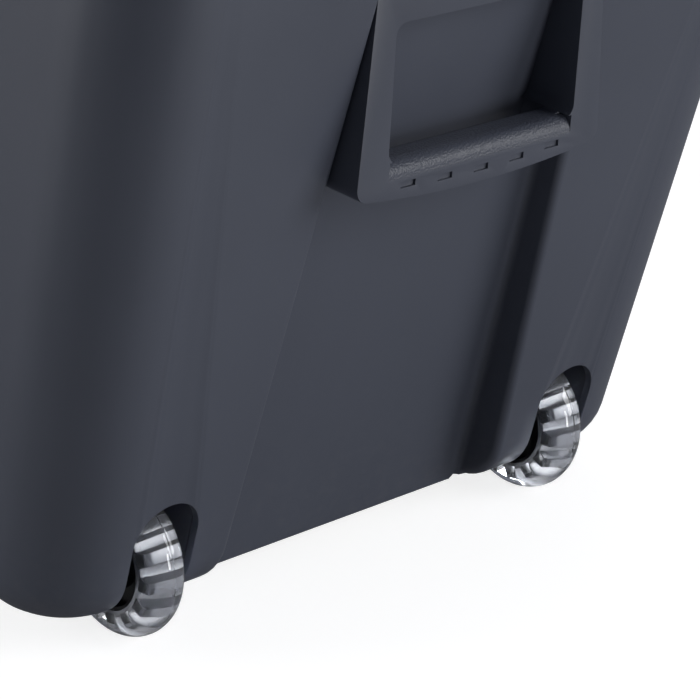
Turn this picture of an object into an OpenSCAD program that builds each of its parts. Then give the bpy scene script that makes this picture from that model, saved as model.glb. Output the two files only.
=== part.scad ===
// Deck storage box on four skate-type wheels, with a hinged lid.
// Millimetres. X runs along the box, the front is towards -Y, Z is up,
// and the wheels stand on Z = 0. The origin is under the middle of the box.

/* [Box] */
// Distance between the axles of the two ends
axle_span = 926; // [700:1:1300]
// Width of the box where its front and back walls would meet the ground
base_w = 384; // [320:1:480]
// Height of the rim that the lid rests on
rim_z = 430; // [380:1:560]
// Outward lean of the end walls, in degrees
end_lean = 10.8; // [8:0.1:13]
// Outward lean of the front and back walls, in degrees
side_lean = 2; // [0:0.1:4]
// How far the end wall stands beyond the axle, at ground level
end_nose = 17.5; // [14:0.5:22]
// Thickness of the moulded walls
wall = 4; // [3:0.1:5]
// Radius of the upright corners
corner_r = 42; // [34:1:50]
// Height of the underside of the corner posts
foot_z = 15; // [14:0.5:22]
// Radius that rounds the lower edge of the posts and walls
foot_r = 26; // [10:0.5:28]
// Height of the underside of the belly between the wheels
belly_z = 12; // [8:0.5:16]
// Width and thickness of the lip around the rim
lip = [8, 4]; // [3:0.5:12]

/* [End recess] */
// Full width of the recess between the corner posts, at ground level
recess_w = 184; // [150:1:200]
// Inward lean of each side of the recess, in degrees
recess_taper = 3.8; // [2:0.1:5]
// Depth of the recess behind the corner posts, at ground level
recess_depth = 25; // [20:0.5:30]
// Outward lean of the recessed panel, in degrees
recess_lean = 12.7; // [10.8:0.1:14]
// Height of the top of the recess
recess_top = 334; // [320:1:345]

/* [Handle] */
// Height of the underside of the grip bar, at its middle
bar_z = 222; // [200:1:235]
// Height of the grip bar at its middle
bar_h = 19; // [15:0.5:24]
// Depth of the grip bar, front to rear
bar_d = 20; // [15:0.5:23]
// Rise of the bar's bowed underside from its middle to its ends
bar_bow = 5; // [3:0.5:10]
// How far the handle's face stands beyond the axle, at ground level
handle_nose = 84; // [80:0.5:88]
// Inward lean of the handle's face, in degrees
handle_lean = 1.5; // [0:0.1:3]
// Width and height of the hand opening
hand_opening = [117, 64]; // [50:1:130]
// Number of slots in the face of the grip bar
bar_slots = 5; // [3:1:7]
// Width, height and depth of one slot
slot_size = [9, 3, 1.3]; // [1:0.1:12]
// Distance between two slots
slot_pitch = 22.8; // [14:0.1:26]
// Diameter of the handle screws
handle_screw_d = 5; // [4:0.5:6]
// Length of a handle screw inside the handle
screw_bite = 10; // [6:1:16]

/* [Wheels] */
// Radius of a wheel
wheel_r = 38; // [31.5:0.5:44]
// Width of a tyre
tyre_w = 22; // [20:0.5:26]
// Radius of the tyre's crown
tyre_crown_r = 11.5; // [11:0.5:16]
// Distance between the middles of the two wheels of one end
wheel_track = 265; // [225:1:290]
// Width of a wheel's hub
hub_w = 24; // [23:0.5:28]
// Radius of the tyre's inner edge
tyre_bore_r = 23.2; // [20:0.2:25]
// Number of teeth round the core
core_teeth = 14; // [10:1:18]
// Height of a tooth and thickness of the toothed wall
tooth = [5.4, 1.8]; // [1.5:0.1:7]
// Outer diameter, width and bore of a bearing
bearing = [22, 7, 8]; // [6:0.5:26]
// Radial clearance between an axle and what turns on it
axle_clear = 0.05; // [0.02:0.01:0.1]
// Free space round a wheel inside its housing
wheel_gap = 4; // [3:0.5:6]
// Inner width of a housing and of the arch in front of it
arch_w = 38; // [36:0.5:44]
// Thickness of a housing's walls
housing_t = 3; // [2.5:0.1:4]

/* [Lid] */
// Height of the lid's skirt below the rim
skirt = 18; // [12:1:24]
// Height of the lid's crown above the rim
crown = 68; // [50:1:90]
// Thickness of the lid's shell and of its liner
lid_t = [3.5, 4]; // [3:0.1:5]
// Free space between the lip and the skirt
lid_gap = 3; // [2:0.5:5]
// Width of the steel tubes that stiffen the lid
tube_w = 20; // [15:1:25]

/* [Hinges] */
// Number of hinges along the back
hinges = 3; // [2:1:4]
// Length of a hinge along its pin, and height of each leaf
leaf = [66, 30]; // [24:1:80]
// Thickness of a leaf, and radius of its barrel
leaf_t = [2.2, 5.5]; // [2:0.1:7]
// Diameter of a hinge pin
pin_d = 6; // [5:0.5:7]
// Diameter of the padlock hole through the two front tabs
padlock_d = 9; // [8:0.5:11]

/* [Hidden] */
$fn = 64;
e = 1;                     // overshoot of a cut past the face it opens
seat = 0.3;                // running gap between pieces that move past each other
fit = 0.2;                 // assembly gap between pieces that are fixed together
far = 400;                 // length of a cut that runs out of the part
axle_x = axle_span / 2;
seam_back = 60;            // flat strip of an end panel beyond its rounded corner
wheel_y = wheel_track / 2;

ENDS = ["right", "left"];
SIDES = ["front", "back"];

// ---- surfaces that every piece follows -------------------------------------------------

// Outer face of the end wall, the recessed panel, the seam to the long walls and the
// handle's face, each as a distance along X at height z; half the width over the long
// walls and half the width of the recess, each along Y at height z.
function face_x(z) = axle_x + end_nose + z * tan(end_lean);
function panel_x(z) = axle_x + end_nose - recess_depth + z * tan(recess_lean);
function seam_x(z) = face_x(z) - corner_r - seam_back;
function grip_x(z) = axle_x + handle_nose - z * tan(handle_lean);
function side_y(z) = base_w / 2 + z * tan(side_lean);
function recess_y(z) = recess_w / 2 - z * tan(recess_taper);

// Points of a round stretch, for polygons
function arc(c, r, a0, a1, n = 10) =
    [for (i = [0:n]) c + r * [cos(a0 + (a1 - a0) * i / n), sin(a0 + (a1 - a0) * i / n)]];

// Extrude a side view (X, Z) across the box, or an end view (Y, Z) along it
module across(w) { rotate([90, 0, 0]) linear_extrude(w, center = true) children(); }
module along(x0, x1) {
    translate([x0, 0, 0]) rotate([90, 0, 90]) linear_extrude(x1 - x0) children();
}
// A copy at the other end, or on the other side
module at_end(end) { mirror([end == "left" ? 1 : 0, 0, 0]) children(); }
module at_side(side) { mirror([0, side == "back" ? 1 : 0, 0]) children(); }

// Plan of one end at height z, from x0 to the end face, drawn in by inset
module end_plan(z, x0, inset = 0) {
    r = corner_r - inset;
    x = face_x(z) - inset;
    y = side_y(z) - inset;
    translate([x0, -(y - r)]) square([x - x0, 2 * (y - r)]);
    translate([x0, -y]) square([x - r - x0, 2 * y]);
    intersection() {
        for (s = [-1, 1]) translate([x - r, s * (y - r)]) circle(r);
        translate([x0, -y]) square([x - x0, 2 * y]);
    }
}
// One thin slice of that plan, with its upper face at height z, as a corner of a hull
module end_slice(z, x0, inset = 0) {
    translate([0, 0, z - 0.01]) linear_extrude(0.01) end_plan(z, x0, inset, $fn = 40);
}

// ---- end panels ------------------------------------------------------------------------

// Quarter round of the foot: height above the foot, and how far the surface is drawn in there
foot_arc = [for (a = [0:22.5:90]) foot_r * [1 - cos(a), 1 - sin(a)]];
function foot_inset(h) = lookup(h, foot_arc);
curb_z = foot_z + foot_r + 4;     // top of the floor's curb inside the walls

// The recess as a cut, grown by g on its sides and floor
module recess_cut(g, z0, z1) {
    intersection() {
        across(2 * far) polygon([[panel_x(z0) - g, z0], [axle_x + far, z0],
            [axle_x + far, z1], [panel_x(z1) - g, z1]]);
        along(axle_x - far, axle_x + far) polygon([[-recess_y(z0) - g, z0], [recess_y(z0) + g, z0],
            [recess_y(z1) + g, z1], [-recess_y(z1) - g, z1]]);
    }
}
// Arch over a wheel, in the end view
module arch_2d() {
    r = arch_w / 2;
    top = 2 * wheel_r + 2.5;
    translate([wheel_y, top - r]) circle(r);
    translate([wheel_y - r, 0]) square([arch_w, top - r]);
}

handle_screws_at = [for (s = [-1, 1]) for (z = [bar_z + 30, recess_top - 18])
    [s * (hand_opening[0] / 2 + recess_y(recess_top)) / 2, z]];

module end_panel() {
    color([0.29, 0.30, 0.34]) difference() {
        union() {
            difference() {
                hull() {
                    for (f = foot_arc) end_slice(foot_z + f[0], seam_x(foot_z + f[0]), f[1]);
                    end_slice(rim_z, seam_x(rim_z));
                }
                recess_cut(0, -e, recess_top);
                // Hollow behind the posts and the face
                difference() {
                    hull() {
                        end_slice(-e, seam_x(-e) - e, foot_r + wall);
                        for (f = foot_arc) end_slice(foot_z + f[0], seam_x(-e) - e, f[1] + wall);
                        end_slice(rim_z + e, seam_x(-e) - e, wall);
                    }
                    recess_cut(wall, -2 * e, recess_top + wall);
                }
            }
            panel_skirt(foot_z + 10);
            // Tongues that the long walls snap onto
            for (side = SIDES) at_side(side) tongue();
            // Lip round the rim, left off the back corner where the lid swings
            translate([0, 0, rim_z - lip[1]]) linear_extrude(lip[1]) difference() {
                end_plan(rim_z, seam_x(rim_z) + fit, -lip[0]);
                end_plan(rim_z, seam_x(rim_z) - e, wall / 2);
                translate([0, side_y(rim_z) - corner_r]) square(far * 3);
            }
            // Flat seats for the handle screws
            for (p = handle_screws_at) translate([0, p[0], p[1]]) screw_seat(p[1]);
        }
        for (side = SIDES) at_side(side) mirror([0, 1, 0])
            along(axle_x - wheel_r, axle_x + far) arch_2d();
        for (p = handle_screws_at) translate([panel_x(p[1]) - far / 4, p[0], p[1]])
            rotate([0, 90, 0]) cylinder(d = handle_screw_d + 2 * fit, h = far / 2);
    }
}
// Skirt of the recessed panel, from z1 down to the belly, its lower corners cut off
module panel_skirt(z1) {
    z0 = belly_z;
    zc = belly_z + skirt_corner;
    intersection() {
        across(2 * far) polygon([[panel_x(z0) - wall, z0], [panel_x(z0), z0],
            [panel_x(z1), z1], [panel_x(z1) - wall, z1]]);
        along(0, 2 * axle_x) polygon([
            [-recess_y(z0) - wall + skirt_corner, z0], [recess_y(z0) + wall - skirt_corner, z0],
            [recess_y(zc) + wall, zc], [recess_y(z1) + wall, z1],
            [-recess_y(z1) - wall, z1], [-recess_y(zc) - wall, zc]]);
    }
}
skirt_corner = 6;     // cut of the skirt's lower corners
tongue_w = 22;        // reach of a tongue behind the long wall
tongue_step = 12;     // and inside the end panel
// One joining tongue, inside the front wall
module tongue() {
    z0 = curb_z + 1;
    z1 = rim_z - 2 * lip[1];
    intersection() {
        across(4 * far) polygon([[seam_x(z0) - tongue_w, z0], [seam_x(z0) + e, z0],
            [seam_x(z1) + e, z1], [seam_x(z1) - tongue_w, z1]]);
        along(0, 2 * axle_x) polygon([[-side_y(z0) + wall + fit, z0], [-side_y(z0) + 2 * wall, z0],
            [-side_y(z1) + 2 * wall, z1], [-side_y(z1) + wall + fit, z1]]);
    }
    // The step that carries the tongue round to the corner's inner face
    intersection() {
        across(4 * far) polygon([[seam_x(z0) + fit, z0], [seam_x(z0) + tongue_step, z0],
            [seam_x(z1) + tongue_step, z1], [seam_x(z1) + fit, z1]]);
        along(0, 2 * axle_x) polygon([[-side_y(z0) + wall / 2, z0], [-side_y(z0) + 2 * wall, z0],
            [-side_y(z1) + 2 * wall, z1], [-side_y(z1) + wall / 2, z1]]);
    }
}
seat_h = 6;           // height of a screw seat behind the panel's inner face
seat_d = 14;          // and its diameter
module screw_seat(z) {
    difference() {
        translate([panel_x(z) - wall - seat_h, 0, 0]) rotate([0, 90, 0])
            cylinder(d = seat_d, h = seat_h + wall);
        across(2 * seat_d) polygon([
            [panel_x(z - seat_d) - wall / 2, -seat_d], [axle_x + far, -seat_d],
            [axle_x + far, seat_d], [panel_x(z + seat_d) - wall / 2, seat_d]]);
    }
}

// ---- long walls ------------------------------------------------------------------------

groove = [4, 1.4];    // width and depth of a groove in a long wall
boards = 4;           // number of boards that the grooves make
rib = [4, 8];         // thickness and height of a rib inside a long wall

// A wall along the front, from seam to seam
module long_wall() {
    z0 = foot_z;
    difference() {
        intersection() {
            // Its lower edge turns under as the foot of the corner posts does
            along(-far * 3, far * 3) polygon(concat(
                [for (f = foot_arc) [f[1] - side_y(z0 + f[0]), z0 + f[0]]],
                [[-side_y(rim_z), rim_z], [wall - side_y(rim_z), rim_z]],
                [for (i = [len(foot_arc) - 1:-1:0]) let (f = foot_arc[i])
                    [f[1] + wall - side_y(z0 + f[0]), z0 + f[0]]]));
            across(4 * far) polygon([[-seam_x(z0) + fit, z0], [seam_x(z0) - fit, z0],
                [seam_x(rim_z) - fit, rim_z], [-seam_x(rim_z) + fit, rim_z]]);
        }
        // Level grooves that divide the wall into boards
        for (i = [1:boards - 1]) let (z = foot_z + i * (rim_z - foot_z) / boards)
            along(-far * 3, far * 3) translate([-side_y(z), z])
                square([2 * groove[1], groove[0]], center = true);
    }
    // Stiffening ribs inside, rooted in the wall
    root = wall - 0.5;
    for (i = [-3:3]) let (x = i * seam_x(0) / 4, h0 = curb_z + 1)
        along(x - rib[0] / 2, x + rib[0] / 2) polygon([
            [root - side_y(h0), h0], [wall + rib[1] - side_y(h0), h0],
            [wall + rib[1] - side_y(rim_z), rim_z - 20], [root - side_y(rim_z), rim_z - 10]]);
}
tab = [44, 5];        // width and thickness of a padlock tab
tab_reach = 18;       // how far the tabs stand out from the skirt
tab_drop = 50;        // height of the gussets under the box's tab
tab_top = rim_z - skirt - 2;   // upper face of the box's tab
function tab_y() = -side_y(rim_z) - lip[0] - lid_gap - lid_t[0];   // face of the lid's skirt
module front_panel() {
    color([0.29, 0.30, 0.34]) difference() {
        union() {
            long_wall();
            along(fit - seam_x(rim_z - lip[1]), seam_x(rim_z - lip[1]) - fit)
                translate([-side_y(rim_z) - lip[0], rim_z - lip[1]])
                    square([lip[0] + wall / 2, lip[1]]);
            // Tab under the lid's own, on two gussets
            along(-tab[0] / 2, tab[0] / 2) translate([tab_y() - tab_reach, tab_top - tab[1]])
                square([tab_reach - tab_y() - side_y(tab_top) + wall / 2, tab[1]]);
            for (x = [-tab[0] / 2, tab[0] / 2 - rib[0]]) along(x, x + rib[0]) polygon([
                [wall / 2 - side_y(tab_top - tab_drop), tab_top - tab_drop],
                [tab_y() - tab_reach, tab_top - tab[1]], [tab_y() - tab_reach, tab_top],
                [wall / 2 - side_y(tab_top), tab_top]]);
        }
        padlock_hole();
    }
}
module padlock_hole() {
    translate([0, tab_y() - tab_reach / 2, tab_top - 2 * tab[1]])
        cylinder(d = padlock_d, h = 4 * tab[1]);
}
module back_panel() {
    color([0.29, 0.30, 0.34]) difference() {
        mirror([0, 1, 0]) long_wall();
        for (x = hinge_x) for (r = leaf_rivets(-1)) translate([x + r[0], 0, r[1]]) rivet_hole();
    }
}

// ---- floor -----------------------------------------------------------------------------

shoulder_z = foot_z + 7;   // underside of the floor beside the wheels

module floor_pan() {
    well = wheel_r + wheel_gap + housing_t + fit;
    shelf = shoulder_z + wall;
    y_belly = recess_y(belly_z) - skirt_corner;
    // Heights at which the curb follows the inside of the rounded walls
    round_z = concat([shoulder_z],
        [for (f = foot_arc) if (foot_z + f[0] > shoulder_z) foot_z + f[0]], [curb_z]);
    function in_y(z) = side_y(z) - foot_inset(z - foot_z) - wall - fit;
    // Half of the cross-section, from the belly out to the curb and back along the top
    half = concat([[y_belly, belly_z], [recess_y(shoulder_z), shoulder_z]],
        [for (z = round_z) [in_y(z), z]],
        [for (i = [len(round_z) - 1:-1:0]) if (round_z[i] > shelf) [in_y(round_z[i]) - wall, round_z[i]]],
        [[in_y(shelf) - wall, shelf], [recess_y(shoulder_z) - wall, shelf],
            [y_belly - wall, belly_z + wall]]);
    color([0.22, 0.23, 0.26]) difference() {
        intersection() {
            along(-2 * far, 2 * far) polygon(concat(half,
                [for (i = [len(half) - 1:-1:0]) [-half[i][0], half[i][1]]]));
            across(2 * far) polygon([
                for (s = [1, -1]) for (z = s > 0 ? [belly_z, curb_z] : [curb_z, belly_z])
                    [s * (panel_x(z) - wall - fit), z]]);
        }
        // Notches for the wheel housings
        for (end = ENDS) at_end(end) for (side = SIDES) at_side(side)
            translate([axle_x - well, -far - (recess_y(shoulder_z) + fit), belly_z - e])
                cube([far, far, far]);
        for (end = ENDS) at_end(end) for (side = SIDES) at_side(side) for (y = housing_screws_y)
            translate([housing_screws_x, -y, 0]) cylinder(d = housing_screw[0], h = 2 * shelf);
    }
}

// ---- handles ---------------------------------------------------------------------------

open_z = bar_z + bar_h;    // underside of the hand opening

handle_corner_r = 7;     // round lower corners of a handle
opening_corner_r = 6;    // round corners of the hand opening
grip_round = [7, 5];     // round of the grip bar's upper edges, front and rear
handle_w = recess_y(bar_z + bar_bow + handle_corner_r) - fit;   // half its width at those corners
// Radius of the bow, which rises bar_bow from the middle to the sides, and half its angle,
// which stops where the corners begin
bow_r = (pow(handle_w, 2) + pow(bar_bow, 2)) / (2 * bar_bow);
bow_a = asin((handle_w - handle_corner_r) / bow_r);
// Height of the bowed underside at y
function bow_z(y) = bar_z + bow_r - sqrt(pow(bow_r, 2) - pow(y, 2));

// Front outline of a handle, bowed below, its sides following the recess
module handle_front() {
    r = handle_corner_r;
    corner = [handle_w - r, bow_z(handle_w - r) + r];
    top = recess_top - fit;
    difference() {
        polygon(concat(
            arc([0, bar_z + bow_r], bow_r, -90 - bow_a, -90 + bow_a, 20),
            arc(corner, r, bow_a - 80, 0, 6),
            [[recess_y(top) - fit, top], [-recess_y(top) + fit, top]],
            arc([-corner[0], corner[1]], r, 180, 260 - bow_a, 6)));
        hand_opening_2d();
    }
}
module hand_opening_2d() {
    w = hand_opening[0] / 2;
    h = hand_opening[1];
    r = opening_corner_r;
    polygon(concat(arc([w - r, open_z + r], r, -90, 0, 6), arc([w - r, open_z + h - r], r, 0, 90, 6),
        arc([-w + r, open_z + h - r], r, 90, 180, 6), arc([-w + r, open_z + r], r, 180, 270, 6)));
}
module handle() {
    z0 = bar_z;
    z1 = recess_top;
    color([0.29, 0.30, 0.34]) difference() {
        intersection() {
            along(axle_x, axle_x + far) handle_front();
            across(far) polygon([[panel_x(z0) + fit, z0], [grip_x(z0), z0],
                [grip_x(z1), z1], [panel_x(z1) + fit, z1]]);
        }
        // Finger space behind the grip bar
        across(hand_opening[0]) polygon([[axle_x, z0 - e], [grip_x(z0) - bar_d, z0 - e],
            [grip_x(open_z) - bar_d, open_z + e], [axle_x, open_z + e]]);
        // Round the bar's upper edges: place along X, direction and radius of each
        for (x = [[grip_x(open_z), 1, grip_round[0]], [grip_x(open_z) - bar_d, -1, grip_round[1]]])
            across(hand_opening[0] - 2) translate([x[0] - x[1] * x[2], open_z - x[2]]) difference() {
                translate([x[1] > 0 ? 0 : -x[2] - e, 0]) square([x[2] + e, x[2] + e]);
                circle(x[2]);
            }
        // Slots in the bar's face, along its bow
        for (i = [0:bar_slots - 1]) let (y = (i - (bar_slots - 1) / 2) * slot_pitch,
                z = bow_z(y) + slot_lift)
            translate([grip_x(z) - slot_size[2], y - slot_size[0] / 2, z - slot_size[1] / 2])
                cube([far, slot_size[0], slot_size[1]]);
        for (p = handle_screws_at) translate([axle_x, p[0], p[1]]) rotate([0, 90, 0])
            cylinder(d = handle_screw_d, h = panel_x(p[1]) + screw_bite + e - axle_x);
    }
}
slot_lift = 6.5;         // middle of a slot above the bowed underside
screw_head_h = 3;        // height of a handle screw's head
module handle_screw(z) {
    head = panel_x(z) - wall - seat_h;
    color("silver") rotate([0, 90, 0]) {
        translate([0, 0, head]) cylinder(d = handle_screw_d, h = panel_x(z) + screw_bite - head);
        translate([0, 0, head - screw_head_h]) difference() {
            cylinder(d = 2 * handle_screw_d, h = screw_head_h);
            translate([0, 0, -e]) cylinder(d = handle_screw_d / 2, h = screw_head_h / 2 + e, $fn = 6);
        }
    }
}

module handle_screws() {
    for (end = ENDS) at_end(end) for (p = handle_screws_at)
        translate([0, p[0], p[1]]) handle_screw(p[1]);
}

// ---- wheels and their housings ---------------------------------------------------------

module at_wheel() { translate([axle_x, -wheel_y, wheel_r]) rotate([90, 0, 0]) children(); }

// Half profile of a tyre: crowned tread, rounded shoulders, flat sides (radius, width)
module tyre_profile() {
    w = tyre_w / 2;
    a = asin(w / tyre_crown_r);
    shoulder = wheel_r - tyre_crown_r + tyre_crown_r * cos(a);
    polygon(concat([[tyre_bore_r, -w + 1.5], [tyre_bore_r + 1.5, -w], [shoulder - 2, -w]],
        arc([wheel_r - tyre_crown_r, 0], tyre_crown_r, -a + 4, a - 4, 16),
        [[shoulder - 2, w], [tyre_bore_r + 1.5, w], [tyre_bore_r, w - 1.5]]));
}
core_band = 20;       // width of the toothed band inside the tyre
core_disc = 6;        // thickness of the disc between the hub and the band

// Toothed ring of the core: teeth of height tooth[0], wall tooth[1]
module tooth_ring() {
    difference() {
        tooth_outline(tyre_bore_r + 1 + tooth[1], tooth[0]);
        tooth_outline(tyre_bore_r + 1, tooth[0]);
    }
}
module tooth_outline(r, h) {
    step = 360 / core_teeth;
    polygon([for (i = [0:core_teeth - 1]) for (k = [[-0.33, 0], [-0.2, h], [0.2, h], [0.33, 0]])
        (r + k[1]) * [cos((i + k[0]) * step), sin((i + k[0]) * step)]]);
}
module tyre() {
    color([0.85, 0.86, 0.84]) at_wheel() difference() {
        rotate_extrude($fn = 96) tyre_profile();
        translate([0, 0, -core_band / 2]) linear_extrude(core_band) {
            tooth_ring();
            circle(tyre_bore_r + 1.5);
        }
    }
}
module core() {
    seat_r = bearing[0] / 2;
    h = hub_w / 2;
    color([0.05, 0.05, 0.06]) at_wheel() {
        difference() {
            union() {
                cylinder(r = seat_r + 3, h = hub_w, center = true);
                cylinder(r = tyre_bore_r - 1, h = core_disc, center = true);
                difference() {
                    cylinder(r = tyre_bore_r, h = tyre_w - 3, center = true);
                    cylinder(r = tyre_bore_r - 2, h = tyre_w, center = true);
                }
            }
            cylinder(r = seat_r - 2, h = 2 * hub_w, center = true);
            for (s = [-1, 1]) translate([0, 0, s * (h - bearing[1] / 2 + e / 2)])
                cylinder(r = seat_r, h = bearing[1] + e, center = true);
        }
        translate([0, 0, -core_band / 2]) linear_extrude(core_band) difference() {
            union() {
                tooth_ring();
                circle(tyre_bore_r + 1.5);
            }
            circle(tyre_bore_r - 1);
        }
    }
}
// The two bearings of one wheel, each a ring with a dished shield
module bearings() {
    r0 = bearing[2] / 2;
    r1 = bearing[0] / 2;
    w = bearing[1];
    color("silver") at_wheel() for (s = [-1, 1]) mirror([0, 0, s < 0 ? 1 : 0])
        translate([0, 0, hub_w / 2 - w]) rotate_extrude() polygon([[r0, 0], [r1, 0], [r1, w],
            [r1 - 1.8, w], [r1 - 2, w - 0.6], [r0 + 2, w - 0.6], [r0 + 1.8, w], [r0, w]]);
}
bolt_head = [8, 5];   // radius and height of an axle bolt's button head
bolt_nut = [7.5, 5];  // radius over the corners and height of its nut
bolt_hex = 2.9;       // radius of the hexagon socket in its head
// Axle bolt with a button head and a nut
module axle() {
    half = arch_w / 2 + housing_t;
    r = bearing[2] / 2 - axle_clear;
    tail = half + bolt_nut[1] + e;
    color("silver") at_wheel() {
        translate([0, 0, -tail]) cylinder(r = r, h = tail + half);
        translate([0, 0, half]) difference() {
            rotate_extrude() polygon([[0, 0], [bolt_head[0], 0], [bolt_head[0], bolt_head[1] / 2 - 0.5],
                [bolt_head[0] - 1.5, bolt_head[1] - e], [0, bolt_head[1]]]);
            translate([0, 0, 2]) cylinder(r = bolt_hex, h = bolt_head[1], $fn = 6);
        }
        translate([0, 0, -half - bolt_nut[1]]) cylinder(r = bolt_nut[0], h = bolt_nut[1], $fn = 6);
    }
}
// Screws through a housing's flange and the floor: diameter of shank and head, place along X
// and distances from the middle
housing_screw = [4, 8];
housing_screws_x = axle_x - wheel_r - wheel_gap - housing_t - fit - 12;
housing_screws_y = [recess_y(shoulder_z) + 10, side_y(shoulder_z) - foot_inset(0) - wall - 2];
flange = 28;          // reach of a housing's base flange behind the wheel

// Side view of a housing's outside (g = 0) or inside (g = its wall); it follows the end wall's
// inner face, which turns in below the top of the foot
module housing_side(g) {
    x0 = axle_x - wheel_r - wheel_gap - housing_t;
    z0 = shoulder_z - wall;
    z1 = 2 * wheel_r + wheel_gap + housing_t;
    low = z0 - (g > 0 ? e : 0);
    round_z = concat([z0], [for (f = foot_arc) if (foot_z + f[0] > z0) foot_z + f[0]]);
    function front_x(z) = face_x(z) - foot_inset(z - foot_z) - wall - 3 * fit + 2 * g;
    polygon(concat([[x0 + g, low], [front_x(z0), low]], [for (z = round_z) [front_x(z), z]],
        [[front_x(z1), z1 - g], [x0 + g, z1 - g]]));
}
module housing() {
    half = arch_w / 2;
    r_boss = bearing[2] / 2 + 2;
    boss = half - hub_w / 2 - seat;
    z0 = shoulder_z - wall;
    color([0.12, 0.12, 0.14]) difference() {
        union() {
            difference() {
                translate([0, -wheel_y, 0]) across(arch_w + 2 * housing_t) housing_side(0);
                translate([0, -wheel_y, 0]) across(arch_w) housing_side(housing_t);
            }
            for (s = [-1, 1]) at_wheel() translate([0, 0, s * (half - boss / 2)])
                cylinder(r = r_boss, h = boss, center = true);
            // Base flange inside the foot
            difference() {
                translate([0, 0, z0]) linear_extrude(wall - fit) intersection() {
                    end_plan(foot_z, 0, foot_inset(z0 - foot_z) + wall + fit);
                    translate([axle_x - wheel_r - flange, -far - recess_y(z0) - wall - fit])
                        square(far);
                }
                translate([axle_x - wheel_r - wheel_gap, -wheel_y - half, 0]) cube([far, arch_w, far]);
                at_wheel() cylinder(r = bolt_head[0] + 2, h = 2 * arch_w, center = true);
            }
        }
        at_wheel() cylinder(d = bearing[2], h = 4 * half, center = true);
        for (y = housing_screws_y) translate([housing_screws_x, -y, 0])
            cylinder(d = housing_screw[0], h = 2 * shoulder_z);
    }
}
module housing_screws() {
    head_h = 2.5;
    color("silver") for (end = ENDS) at_end(end) for (side = SIDES) at_side(side)
        for (y = housing_screws_y) translate([housing_screws_x, -y, shoulder_z - wall]) {
            translate([0, 0, -head_h]) cylinder(d = housing_screw[1], h = head_h);
            cylinder(d = housing_screw[0], h = 2 * wall - 0.5);
        }
}

// ---- lid -------------------------------------------------------------------------------

lid_x = face_x(rim_z) + lip[0] + lid_gap;   // inner face of the skirt at the ends
lid_y = side_y(rim_z) + lip[0] + lid_gap;   // and at the front
lid_relief = 16;      // how far before the back corner the skirt ends
tube_end = 60;        // how far a tube stops short of the skirt
// Sections of the crown: share of its height, and how far it is drawn in there
crown_steps = [[0, 0], [0.34, 1], [0.62, 10], [0.82, 34], [0.94, 75], [1, 125]];

// Plan of the skirt's inside drawn in by inset; the shell's back is flush with the back wall
module lid_plan(inset) {
    r = max(corner_r + 10 - inset, 12);
    x = lid_x - inset;
    y0 = -lid_y + inset;
    y1 = side_y(rim_z) - lid_t[0] - inset;
    for (sx = [-1, 1]) for (y = [y0 + r, y1 - r]) translate([sx * (x - r), y]) circle(r);
}
// A crowned solid on that plan, from z0 up; t draws it in from the shell's outside
module lid_solid(z0, t) {
    hull() {
        translate([0, 0, z0]) linear_extrude(0.01) lid_plan(t - lid_t[0], $fn = 32);
        for (c = crown_steps) translate([0, 0, rim_z + c[0] * crown - (c[0] > 0.3 ? t : 0)])
            linear_extrude(0.01) lid_plan(c[1] + t - lid_t[0], $fn = 32);
    }
}
module lid_shell() {
    color([0.26, 0.27, 0.31]) difference() {
        union() {
            difference() {
                lid_solid(rim_z - skirt, 0);
                lid_solid(rim_z - skirt - e, lid_t[0]);
            }
            along(-tab[0] / 2, tab[0] / 2) translate([tab_y() - tab_reach, rim_z - skirt])
                square([tab_reach + 1, tab[1]]);
        }
        // The skirt stops at the rim near the back, where the lid swings down
        translate([-far * 3, side_y(rim_z) - corner_r - lid_relief, rim_z - far + seat])
            cube([6 * far, far, far]);
        padlock_hole();
        for (x = hinge_x) for (r = leaf_rivets(1)) translate([x + r[0], 0, r[1]]) rivet_hole();
    }
}
// Flat liner that closes the lid from below and rests on the rim
module lid_liner() {
    color([0.20, 0.21, 0.24]) difference() {
        translate([0, 0, rim_z + seat]) linear_extrude(lid_t[1]) hull() lid_plan(2 * fit, $fn = 32);
        for (x = hinge_x) for (r = leaf_rivets(1)) translate([x + r[0], 0, r[1]]) rivet_hole();
    }
}
// Square steel tubes, front and back, between the liner and the shell
module lid_tubes() {
    x = lid_x - tube_end;
    tube_t = 1.5;
    color("silver") for (y = [-side_y(rim_z) / 2, side_y(rim_z) / 2])
        translate([0, y, rim_z + seat + lid_t[1] + tube_w / 2]) rotate([0, 90, 0]) difference() {
            cube([tube_w, tube_w, 2 * x], center = true);
            cube([tube_w - 2 * tube_t, tube_w - 2 * tube_t, 3 * x], center = true);
        }
}

// ---- hinges ----------------------------------------------------------------------------

hinge_end = 130;      // outer hinges' distance from the axles
hinge_x = [for (i = [0:hinges - 1])
    (i - (hinges - 1) / 2) * 2 * (axle_x - hinge_end) / max(hinges - 1, 1)];
hinge_y = side_y(rim_z) + leaf_t[1] + seat;   // axis of the pins
hinge_z = rim_z + seat / 2;
// Rivets of the lid's leaf (s = 1) or the box's leaf (s = -1): place along X, and height
rivet_d = 4;
function leaf_rivets(s) = [for (x = [-1, 1]) [x * leaf[0] / 3, hinge_z + s * (leaf[1] - 2 * rivet_d)]];

module rivet_hole() {
    translate([0, side_y(rim_z) - 20, 0]) rotate([-90, 0, 0]) cylinder(d = rivet_d, h = 40);
}
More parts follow.
